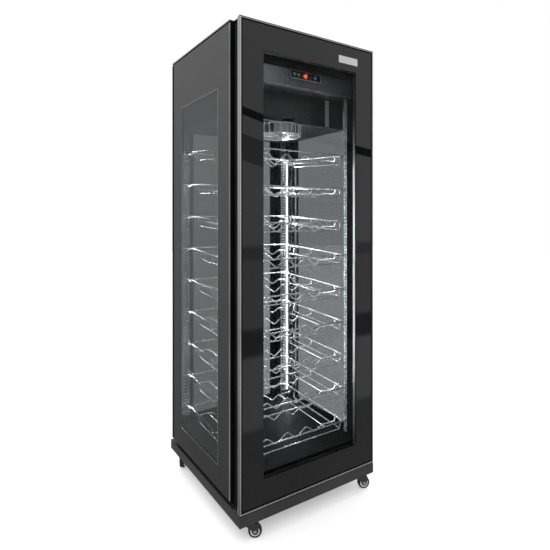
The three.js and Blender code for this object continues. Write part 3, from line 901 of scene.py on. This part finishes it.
def light_strips():
    """Aluminium profile, lit diffuser and a row of LED chips in each rear corner."""
    for side, sign in SIDES:
        node = f"light_strip_{side}"
        low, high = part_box(node)
        centre = (low + high) / 2
        place = Matrix.Translation((centre.x, centre.y, 0)) @ Matrix.Rotation(-sign * math.pi / 4, 4, "Z")
        strip = Shape()
        strip.block((-0.007, 0.0005, low.z), (0.007, 0.0025, high.z), "aluminium")
        for x in (-0.007, 0.0055):
            strip.block((x, -0.0025, low.z), (x + 0.0015, 0.0005, high.z), "aluminium")
        strip.block((-0.0052, -0.0008, low.z + 0.001), (0.0052, 0.0003, high.z - 0.001), "diffuser")
        z = low.z + 0.01
        while z < high.z - 0.008:
            strip.block((-0.0022, -0.0018, z - 0.0022), (0.0022, -0.0008, z + 0.0022), "led", 0.0004)
            z += 0.0167
        strip.piece(f"led_strip_{side}", slot="lamp", replaces=(node,), place=place, smooth=20)


# ---------------------------------------------------------------- cooling unit and controls


def fan_guard():
    """Chrome guard: flange, upright ribs, a dished grille of rings and the motor."""
    low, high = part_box("fan_guard")
    x, y = (low.x + high.x) / 2, (low.y + high.y) / 2
    top = high.z
    guard = Shape()
    guard.lathe(
        [(0.092, 0), (0.104, 0), (0.104, -0.0012), (0.102, -0.003), (0.092, -0.003), (0.092, 0)],
        (x, y, top),
        (0, 0, 1),
        "chrome",
        64,
    )

    def at(r, z, angle):
        return (x + r * math.cos(angle), y + r * math.sin(angle), top + z)

    rings = [(0.0985, -0.040)] + [(0.097 - 0.0095 * i, -0.0425 - 0.0011 * i) for i in range(8)]
    for r, z in rings:
        circle = [at(r, z, 2 * math.pi * k / 48) for k in range(48)]
        guard.tube(circle, 0.0016, "chrome", 6, True)
    guard.lathe(
        [(0.0925, -0.002), (0.094, -0.002), (0.094, -0.0405), (0.0925, -0.0405), (0.0925, -0.002)],
        (x, y, top),
        (0, 0, 1),
        "steel",
        64,
    )
    guard.lathe(
        [(0.090, -0.0405), (0.0985, -0.0385), (0.1005, -0.040), (0.0985, -0.0425), (0.090, -0.0435), (0.090, -0.0405)],
        (x, y, top),
        (0, 0, 1),
        "chrome",
        64,
    )
    for k in range(26):
        angle = 2 * math.pi * (k + 0.5) / 26
        path = [at(0.0970, -0.002, angle), at(0.0985, -0.038, angle), at(0.093, -0.0445, angle)]
        guard.tube(rounded(path, 0.006, 3), 0.0020, "chrome", 6)
    for k in range(6):
        angle = math.pi * k / 3
        path = [at(0.096, -0.0445, angle), at(0.020, -0.0495, angle)]
        guard.tube(path, 0.0014, "chrome", 6)
    guard.lathe(
        [(0, -0.049), (0.016, -0.049), (0.021, -0.0465), (0.022, -0.042), (0.022, -0.031), (0.0, -0.031)],
        (x, y, top),
        (0, 0, 1),
        "plastic",
        32,
    )
    guard.piece("wire_fan_guard", slot="chrome", replaces=("fan_guard",), smooth=40)


def fan_blades(name, centre, axis, radius, hub, height, material, body):
    """Axial fan with five swept, twisted blades on a domed hub."""
    fan = Shape()
    turn = Vector((0, 0, 1)).rotation_difference(Vector(axis)).to_matrix().to_4x4()
    place = Matrix.Translation(centre) @ turn
    h = height / 2
    fan.lathe(
        [(0, -h), (hub * 0.9, -h), (hub, -h * 0.85), (hub, h * 0.8), (hub * 0.85, h), (0, h)],
        (0, 0, 0),
        (0, 0, 1),
        material,
        32,
    )
    rows, columns = 7, 7
    for blade in range(5):
        verts = []
        for skin in (0.0006, -0.0006):
            for i in range(rows):
                r = hub * 0.9 + (radius - hub * 0.9) * i / (rows - 1)
                chord = 0.62 + 0.25 * i / (rows - 1)
                twist = h * (0.85 - 0.35 * i / (rows - 1))
                for j in range(columns):
                    s = j / (columns - 1) - 0.5
                    angle = blade * 2 * math.pi / 5 + s * chord + 0.25 * i / (rows - 1)
                    z = -2 * s * twist + 0.1 * h * math.cos(math.pi * s) + skin
                    verts.append((r * math.cos(angle), r * math.sin(angle), z))
        faces = []
        n = rows * columns
        for i in range(rows - 1):
            for j in range(columns - 1):
                a = i * columns + j
                quad = [a, a + 1, a + columns + 1, a + columns]
                faces.append(quad)
                faces.append([v + n for v in reversed(quad)])
        rim = [j for j in range(columns)]
        rim += [i * columns + columns - 1 for i in range(1, rows)]
        rim += [(rows - 1) * columns + j for j in range(columns - 2, -1, -1)]
        rim += [i * columns for i in range(rows - 2, 0, -1)]
        for k, v in enumerate(rim):
            w = rim[(k + 1) % len(rim)]
            faces.append([w, v, v + n, w + n])
        fan.add(verts, faces, material)
    return fan.piece(name, body, None, (body,), smooth=35, place=place)


def fans():
    for body, material, radius, hub in (
        ("evaporator_fan", "aluminium", 0.0775, 0.024),
        ("condenser_fan", "plastic", 0.0655, 0.022),
    ):
        low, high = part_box(body)
        centre = (low + high) / 2
        joint = next(j for j in frame["joints"] if j["child"] == body)
        axis = Vector(joint["axis"])
        pivot = Vector(joint["pos_m"])
        spot = pivot + axis * (centre - pivot).dot(axis)
        height = (high - low).dot(Vector(abs(a) for a in axis))
        fan = fan_blades(body + "_blades", spot, axis, radius, hub, height, material, body)


def rounded_hoop(shape, low, high, corner, width, material, steps=5):
    """A raised lip round a rounded rectangle facing -Y."""
    (x0, y0, z0), (x1, y1, z1) = low, high
    w = width
    outer = rounded([(x0, 0, z0), (x1, 0, z0), (x1, 0, z1), (x0, 0, z1)], corner, steps, True)
    inner = rounded(
        [(x0 + w, 0, z0 + w), (x1 - w, 0, z0 + w), (x1 - w, 0, z1 - w), (x0 + w, 0, z1 - w)],
        corner * 0.6,
        steps,
        True,
    )
    n = len(outer)
    verts = []
    for y in (y0, y1):
        verts += [(p.x, y, p.z) for p in outer] + [(p.x, y, p.z) for p in inner]
    faces = []
    for k in range(n):
        m = (k + 1) % n
        faces.append([k, m, n + m, n + k])
        faces.append([2 * n + m, 2 * n + k, 3 * n + k, 3 * n + m])
        faces.append([m, k, 2 * n + k, 2 * n + m])
        faces.append([n + k, n + m, 3 * n + m, 3 * n + k])
    shape.add(verts, faces, material)


def segment_digit(shape, x, z, y, value, height=0.013):
    """One seven-segment digit lit in red."""
    lit = {1: "bc", 2: "abged", 0: "abcdef"}[value]
    w, h, t = height * 0.52, height, height * 0.13
    bars = {
        "a": (0, h, w, 0),
        "g": (0, h / 2, w, 0),
        "d": (0, 0, w, 0),
        "b": (w, h / 2, 0, h / 2),
        "c": (w, 0, 0, h / 2),
        "f": (0, h / 2, 0, h / 2),
        "e": (0, 0, 0, h / 2),
    }
    for name in lit:
        dx, dz, lx, lz = bars[name]
        low = (x + dx - t / 2 + (t * 0.8 if lx else 0), y - 0.0002, z + dz - t / 2 + (t * 0.8 if lz else 0))
        high = (x + dx + lx + t / 2 - (t * 0.8 if lx else 0), y, z + dz + lz + t / 2 - (t * 0.8 if lz else 0))
        shape.block(low, high, "digits")


def unit_trim():
    """Bright edge lines of the ledge and of the housing, its cable cover and the side rails."""
    ledge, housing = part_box("control_fascia")[0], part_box("evaporator_housing")
    front, under = ledge.y, ledge.z
    trim = Shape()
    half = -ledge.x - 0.004
    trim.block((-half, front - 0.0012, under + 0.0002), (half, front - 0.0001, under + 0.0018), "chrome", 0.0003)
    trim.block((-half, front + 0.0002, under - 0.0046), (half, front + 0.003, under - 0.0002), "fascia", 0.0003)
    trim.block((-half, front - 0.0004, under - 0.0068), (half, front + 0.003, under - 0.0048), "lip", 0.0003)
    low, high = housing
    trim.block((low.x + 0.002, low.y - 0.0012, low.z), (high.x - 0.002, low.y - 0.0002, low.z + 0.0018), "chrome", 0.0003)
    trim.block((0.193, low.y - 0.0022, low.z + 0.005), (0.214, low.y - 0.0002, high.z - 0.004), "key_grey", 0.0008)
    for _, sign in SIDES:
        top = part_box("standard_front_left")[1].z
        xs = sorted((sign * 0.2802, sign * 0.2816))
        trim.block((xs[0], -0.2095, top + 0.0005), (xs[1], -0.2030, 1.758), "chrome", 0.0003)
        xs = sorted((sign * 0.270, sign * 0.2800))
        trim.block((xs[0], -0.2110, top + 0.0004), (xs[1], -0.2010, under - 0.0002), "chrome", 0.0004)
    trim.piece("unit_trim", slot="aluminium", smooth=20)
    covers = Shape()
    post, roof_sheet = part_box("post_front_right"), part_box("top_cover")
    for _, sign in SIDES:
        xs = sorted((sign * (post[0].x + 0.0002), sign * (post[1].x - 0.0002)))
        covers.block((xs[0], -0.2436, post[1].z + 0.0002), (xs[1], post[1].y, roof_sheet[1].z - 0.0055), "matt_black", 0.001)
    covers.piece("upper_corner_covers", slot="black_plastic")


def controls():
    """Fascia, controller with its bezel and display, and the three keys."""
    paint_node("control_fascia", "fascia", 0.0006)
    paint_node("evaporator_housing", "unit_plastic", 0.001)
    unit_trim()
    paint_node("evaporator_coil", "fins")
    paint_node("compressor", "powder")
    paint_node("condenser", "fins")
    low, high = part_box("controller")
    front = low.y
    x0, x1, z0, z1 = low.x, high.x, low.z, high.z
    body = Shape()
    keys = [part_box(k) for k in ("key_power", "key_light", "key_set")]
    spots = [((a + b) / 2, (b.x - a.x) / 2) for a, b in keys]
    back = front + 0.0058
    rounded_hoop(body, (x0, front, z0), (x1, back, z1), 0.009, 0.0035, "steel")
    rounded_hoop(
        body, (x0 + 0.0036, front + 0.0012, z0 + 0.0036), (x1 - 0.0036, back, z1 - 0.0036), 0.006, 0.002, "plastic"
    )
    plate_y = front + 0.0074
    body.block((x0 + 0.0065, plate_y, z0 + 0.0055), (x1 - 0.0065, high.y, z1 - 0.0055), "gloss_plastic")
    middle = (z0 + z1) / 2
    display = (x0 + 0.052, x0 + 0.094)
    body.block((display[0], front + 0.0018, middle - 0.0105), (display[1], plate_y, middle + 0.0105), "gloss_plastic", 0.0008)
    segment_digit(body, display[0] + 0.011, middle - 0.0065, front + 0.0018, 1)
    segment_digit(body, display[0] + 0.0235, middle - 0.0065, front + 0.0018, 2)
    for spot, r in spots:
        wall_r = r + 0.0004
        body.lathe(
            [(wall_r, 0.0), (wall_r + 0.0016, 0.0), (wall_r + 0.0022, 0.0008), (wall_r + 0.0022, 0.0058), (wall_r, 0.0058), (wall_r, 0)],
            (spot.x, front + 0.0016, spot.z),
            (0, 1, 0),
            "plastic",
            32,
        )
    body.piece("controller_unit", slot="black_plastic", replaces=("controller",), smooth=35)
    for key, glow in (("key_power", "key_grey"), ("key_light", "green"), ("key_set", "blue")):
        a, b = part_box(key)
        centre = (a + b) / 2
        r = (b.x - a.x) / 2
        cap = Shape()
        cap.lathe(
            [(0, 0.0004), (r * 0.6, 0.0003), (r * 0.62, 0.0), (r * 0.85, 0.0), (r, 0.0009), (r, 0.006), (0, 0.006)],
            (centre.x, a.y, centre.z),
            (0, 1, 0),
            "key_grey",
            32,
        )
        if glow != "key_grey":
            cap.lathe(
                [(0, -0.0), (r * 0.45, 0.0), (r * 0.45, 0.0006), (0, 0.0006)],
                (centre.x, a.y + 0.0001, centre.z),
                (0, 1, 0),
                glow,
                24,
            )
        cap.piece(key + "_cap", key, "key_plastic", (key,), smooth=35)
    screws = Shape()
    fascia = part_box("control_fascia")[0]
    screw(screws, (x0 - 0.009, fascia.y + 0.0014, z0 - 0.006), (0, -1, 0), 0.0035)
    screw(screws, (x1 + 0.014, fascia.y + 0.0014, z1 + 0.006), (0, -1, 0), 0.0035)
    screws.piece("controller_screws", slot="galvanised")


# ---------------------------------------------------------------- casters


def casters():
    """Swivel forks with a hood and wheels with a bright centre, built once in caster space."""
    for end in ("front", "rear"):
        for side, _ in SIDES:
            name = f"{end}_{side}"
            swivel = next(j for j in frame["joints"] if j["name"] == f"caster_swivel_{name}")
            roll = next(j for j in frame["joints"] if j["name"] == f"wheel_roll_{name}")
            pivot, axle = Vector(swivel["pos_m"]), Vector(roll["pos_m"])
            heading = math.atan2(axle.y - pivot.y, axle.x - pivot.x)
            trail = math.hypot(axle.x - pivot.x, axle.y - pivot.y)
            place = Matrix.Translation((pivot.x, pivot.y, 0)) @ Matrix.Rotation(heading, 4, "Z")
            caster_fork(name, place, trail)
            caster_wheel(name, place, trail)


def caster_fork(name, place, trail):
    fork = Shape()
    fork.lathe([(0, 0.0577), (0.011, 0.0577), (0.011, 0.0667), (0, 0.0667)], (0, 0, 0), (0, 0, 1), "steel", 24)
    fork.lathe(
        [(0, 0.054), (0.019, 0.054), (0.021, 0.0555), (0.021, 0.0585), (0.0195, 0.060), (0, 0.060)],
        (0, 0, 0),
        (0, 0, 1),
        "powder",
        32,
    )
    for y in (-0.014, 0.011):
        cheek = [(trail + 0.011 * math.cos(math.radians(a)), 0.025 + 0.011 * math.sin(math.radians(a))) for a in range(180, 361, 20)]
        cheek += [(trail + 0.014, 0.050), (trail + 0.008, 0.0545), (-0.004, 0.0555), (-0.006, 0.046), (trail - 0.014, 0.034)]
        n = len(cheek)
        verts = [(x, y, z) for x, z in cheek] + [(x, y + 0.003, z) for x, z in cheek]
        faces = [list(range(n)), list(reversed(range(n, 2 * n)))]
        faces += [[(k + 1) % n, k, n + k, n + (k + 1) % n] for k in range(n)]
        fork.add(verts, faces, "powder")
    fork.block((-0.008, -0.014, 0.0525), (trail + 0.012, 0.014, 0.0565), "powder", 0.0012)
    fork.lathe([(0, -0.0155), (0.005, -0.0155), (0.006, -0.0145), (0.006, -0.014), (0, -0.014)], (trail, 0, 0.025), (0, 1, 0), "steel", 16)
    fork.lathe([(0, 0.014), (0.006, 0.014), (0.006, 0.0145), (0.005, 0.0155), (0, 0.0155)], (trail, 0, 0.025), (0, 1, 0), "steel", 16)
    fork.lathe([(0, -0.012), (0.004, -0.012), (0.004, 0.012), (0, 0.012)], (trail, 0, 0.025), (0, 1, 0), "steel", 16)
    fork.piece(f"fork_{name}", f"caster_{name}", "black_steel", (f"caster_fork_{name}",), place=place)


def caster_wheel(name, place, trail):
    wheel = Shape()
    wheel.lathe(
        [
            (0.0175, -0.0085), (0.0185, -0.0096), (0.0215, -0.0098), (0.0238, -0.0084), (0.0249, -0.0055),
            (0.025, 0), (0.0249, 0.0055), (0.0238, 0.0084), (0.0215, 0.0098), (0.0185, 0.0096),
            (0.0175, 0.0085), (0.0175, -0.0085),
        ],
        (trail, 0, 0.025),
        (0, 1, 0),
        "tyre",
        40,
    )
    for s in (-1, 1):
        wheel.lathe(
            [(0.0044, s * 0.0095), (0.007, s * 0.0095), (0.008, s * 0.0075), (0.0135, s * 0.0068), (0.0165, s * 0.0088),
             (0.0174, s * 0.0088), (0.0174, s * 0.004), (0.0044, s * 0.004), (0.0044, s * 0.0095)],
            (trail, 0, 0.025),
            (0, 1, 0),
            "chrome",
            40,
        )
    wheel.lathe(
        [(0.0044, -0.0039), (0.0174, -0.0039), (0.0174, 0.0039), (0.0044, 0.0039), (0.0044, -0.0039)],
        (trail, 0, 0.025),
        (0, 1, 0),
        "plastic",
        40,
    )
    wheel.piece(f"tyre_{name}", f"wheel_{name}", "tyre", (f"caster_wheel_{name}",), place=place, smooth=40)


# ---------------------------------------------------------------- light, floor and camera


def area_light(name, spot, target, size, power, colour=(1, 1, 1), spread=180):
    data = bpy.data.lights.new(name, "AREA")
    data.shape = "RECTANGLE"
    data.size, data.size_y = size
    data.energy = power
    data.color = colour
    data.spread = math.radians(spread)
    lamp = bpy.data.objects.new(name, data)
    scene.collection.objects.link(lamp)
    lamp.location = spot
    lamp.rotation_euler = (Vector(target) - Vector(spot)).to_track_quat("-Z", "Y").to_euler()
    return lamp


def sky(tree):
    """White for the camera and for soft light. Reflections see a studio: behind the cooler and
    to its left a soft gradient, in front of it a pale wall with dark bands and one slanted beam."""
    where = tree.nodes.new("ShaderNodeTexCoord")
    axes = tree.nodes.new("ShaderNodeSeparateXYZ")
    link(tree, where.outputs["Generated"], axes.inputs["Vector"])
    dx, dy, dz = (axes.outputs[k] for k in "XYZ")

    def ramp(source, from_low, from_high, to_low, to_high):
        node = tree.nodes.new("ShaderNodeMapRange")
        for key, value in zip(
            ("From Min", "From Max", "To Min", "To Max"), (from_low, from_high, to_low, to_high)
        ):
            node.inputs[key].default_value = value
        link(tree, source, node.inputs["Value"])
        return node.outputs["Result"]

    def maths(operation, *terms):
        node = tree.nodes.new("ShaderNodeMath")
        node.operation = operation
        for slot, term in zip(node.inputs, terms):
            if isinstance(term, (int, float)):
                slot.default_value = term
            else:
                link(tree, term, slot)
        return node.outputs["Value"]

    side = maths("MULTIPLY", ramp(dz, -0.6, 0.8, 0.2, 0.98), ramp(dx, -0.52, -0.36, 1.55, 0.97))
    rise = maths("DIVIDE", dz, maths("MAXIMUM", maths("MULTIPLY", dy, -1.0), 0.2))
    bands = tree.nodes.new("ShaderNodeValToRGB")
    stops = (
        (-0.570, 0.40), (-0.552, 0.92), (-0.374, 0.92), (-0.364, 0.20), (-0.301, 0.20), (-0.292, 0.76),
        (-0.118, 0.76), (-0.113, 0.47), (-0.082, 0.47), (-0.074, 1.0),
    )
    points = bands.color_ramp.elements
    for i, (place, level) in enumerate(stops):
        point = points[i] if i < 2 else points.new(1.0)
        point.position = (place + 1) / 2
        point.color = (level, level, level, 1)
    link(tree, ramp(rise, -1, 1, 0, 1), bands.inputs["Fac"])
    slant = maths("MULTIPLY_ADD", dx, 0.42, dz)
    beam = ramp(maths("ABSOLUTE", maths("SUBTRACT", slant, 0.436)), 0.0075, 0.009, 0.0, 1.0)
    patch = ramp(maths("ABSOLUTE", maths("SUBTRACT", slant, 0.362)), 0.026, 0.030, 0.4, 1.0)
    patch = maths("MAXIMUM", patch, ramp(dx, 0.54, 0.56, 0.0, 1.0))
    front = maths("MULTIPLY", maths("MULTIPLY", bands.outputs["Color"], 0.78), maths("MULTIPLY", beam, patch))
    rays = tree.nodes.new("ShaderNodeLightPath")

    def choose(factor, first, second):
        node = tree.nodes.new("ShaderNodeMix")
        node.data_type = "FLOAT"
        for slot, term in zip(("Factor", "A", "B"), (factor, first, second)):
            if isinstance(term, float):
                node.inputs[slot].default_value = term
            else:
                link(tree, term, node.inputs[slot])
        return node.outputs["Result"]

    mirrored = choose(maths("LESS_THAN", dy, 0.0), side, front)
    seen = choose(rays.outputs["Is Glossy Ray"], 1.0, mirrored)
    link(tree, seen, tree.nodes["Background"].inputs["Strength"])
    tree.nodes["Background"].inputs["Color"].default_value = (1, 1, 1, 1)


def studio():
    """Pale seamless floor, soft lamps and the lamps behind the LED strips."""
    ground = bpy.data.meshes.new("floor")
    ground.from_pydata([(-12, -12, 0), (12, -12, 0), (12, 12, 0), (-12, 12, 0)], [], [(0, 1, 2, 3)])
    floor = bpy.data.objects.new("floor", ground)
    scene.collection.objects.link(floor)
    pale = bpy.data.materials.new("pale_floor")
    pale.use_nodes = True
    pale.node_tree.nodes["Principled BSDF"].inputs["Base Color"].default_value = (0.9, 0.9, 0.9, 1)
    pale.node_tree.nodes["Principled BSDF"].inputs["Roughness"].default_value = 0.6
    pale.node_tree.nodes["Principled BSDF"].inputs["Emission Color"].default_value = (1, 1, 1, 1)
    pale.node_tree.nodes["Principled BSDF"].inputs["Emission Strength"].default_value = 0.3
    ground.materials.append(pale)
    world = bpy.data.worlds.new("studio")
    scene.world = world
    world.use_nodes = True
    sky(world.node_tree)
    floor.visible_glossy = False
    key = area_light("key_light_panel", (-2.6, -3.0, 3.2), (0, 0, 1.0), (1.6, 2.4), 40)
    fill = area_light("fill_panel", (3.0, -2.4, 2.0), (0, 0, 0.9), (1.2, 2.4), 15)
    key.visible_glossy = fill.visible_glossy = False
    beam = bpy.data.lights.new("fascia_spot", "SPOT")
    beam.energy = 420
    beam.spot_size = math.radians(13)
    beam.spot_blend = 1.0
    beam.shadow_soft_size = 0.08
    spot = bpy.data.objects.new("fascia_spot", beam)
    scene.collection.objects.link(spot)
    spot.location = (-0.75, -1.75, 1.80)
    target = Vector((-0.24, -0.24, 1.715))
    spot.rotation_euler = (target - spot.location).to_track_quat("-Z", "Y").to_euler()
    spot.visible_glossy = False
    lit = bpy.data.collections.new("lit_by_fascia_spot")
    lit.objects.link(bpy.data.objects["control_fascia"])
    spot.light_linking.receiver_collection = lit
    overhead = bpy.data.lights.new("overhead", "SUN")
    overhead.energy = 0.7
    overhead.angle = math.radians(60)
    dome = bpy.data.objects.new("overhead", overhead)
    scene.collection.objects.link(dome)
    dome.rotation_euler = (math.radians(-15), math.radians(-12), 0)
    dome.visible_glossy = False
    for side, sign in SIDES:
        low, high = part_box(f"light_strip_{side}")
        centre = (low + high) / 2
        inward = Vector((-sign, -1, 0)).normalized()
        for name, power, ahead in (("led_light", 7, 0.006), ("led_shine", 3, 0.009)):
            lamp = area_light(
                f"{name}_{side}", centre + inward * ahead, centre + inward, (0.03, high.z - low.z), power,
                (0.96, 0.98, 1.0), 170,
            )
            lamp.rotation_euler = inward.to_track_quat("-Z", "Y").to_euler()
            lamp.visible_camera = False
            lamp.visible_glossy = name == "led_shine"
        glow = area_light(
            f"rack_fill_{side}", (sign * 0.262, -0.175, 0.85), (0, 0.1, 0.85), (0.02, 1.2), 3.5, (0.98, 0.99, 1.0), 150
        )
        glow.visible_camera = glow.visible_glossy = False


def camera():
    data = bpy.data.cameras.new("camera")
    data.sensor_width = 36
    data.lens = 29.25
    data.shift_x = 0.0260
    data.shift_y = -0.1062
    data.clip_start = 0.05
    eye = bpy.data.objects.new("camera", data)
    scene.collection.objects.link(eye)
    eye.location = (-1.0914, -1.6693, 1.1530)
    heading = Vector((math.sin(0.565), math.cos(0.565), 0))
    eye.rotation_euler = heading.to_track_quat("-Z", "Y").to_euler()
    scene.camera = eye


# ---------------------------------------------------------------- the whole cooler

roof()
for glazed in ("left", "right", "rear"):
    wall(glazed)
door()
racks()
standards()
light_strips()
fan_guard()
fans()
controls()
casters()
studio()
camera()
scene.view_settings.view_transform = "Standard"
scene.cycles.transparent_max_bounces = 40
scene.cycles.max_bounces = 14
